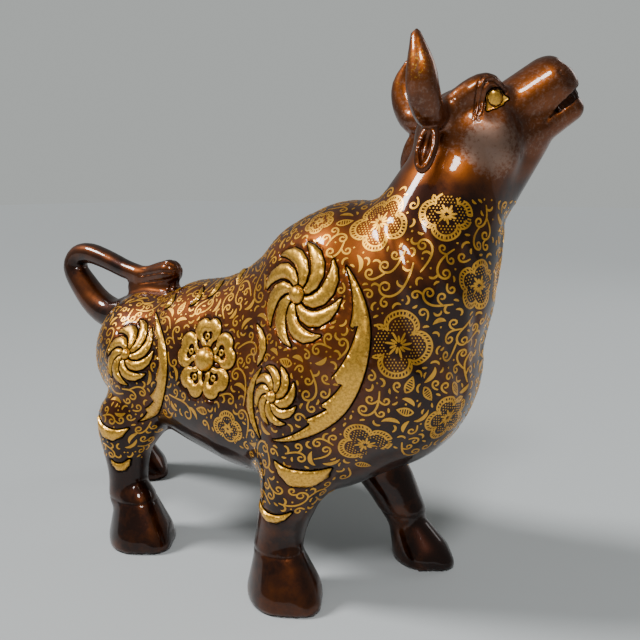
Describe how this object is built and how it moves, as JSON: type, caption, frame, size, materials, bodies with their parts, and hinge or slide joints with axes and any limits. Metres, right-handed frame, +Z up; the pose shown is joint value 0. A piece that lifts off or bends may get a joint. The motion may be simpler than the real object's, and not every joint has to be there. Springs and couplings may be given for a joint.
{
  "type": "ox statue",
  "caption": "Standing bull ox figure with its head raised and turned, looped tail, horns and carved gilt ornament; a hollow brass casting that stands on its own hooves.",
  "frame": {"origin": "middle of the bounding box, on the floor under the soles", "axes": "+X the way the body faces, +Y the ox's left, +Z up; the head is turned to the ox's left"},
  "size_m": [0.4628, 0.1606, 0.3852],
  "materials": {
    "patinated_brass": "dark brown lacquered patina, glossy, amber where it thins, with gilt carving and painted gilt scrolls"
  },
  "bodies": {
    "root": {"ox": "patinated_brass"}
  },
  "joints": []
}
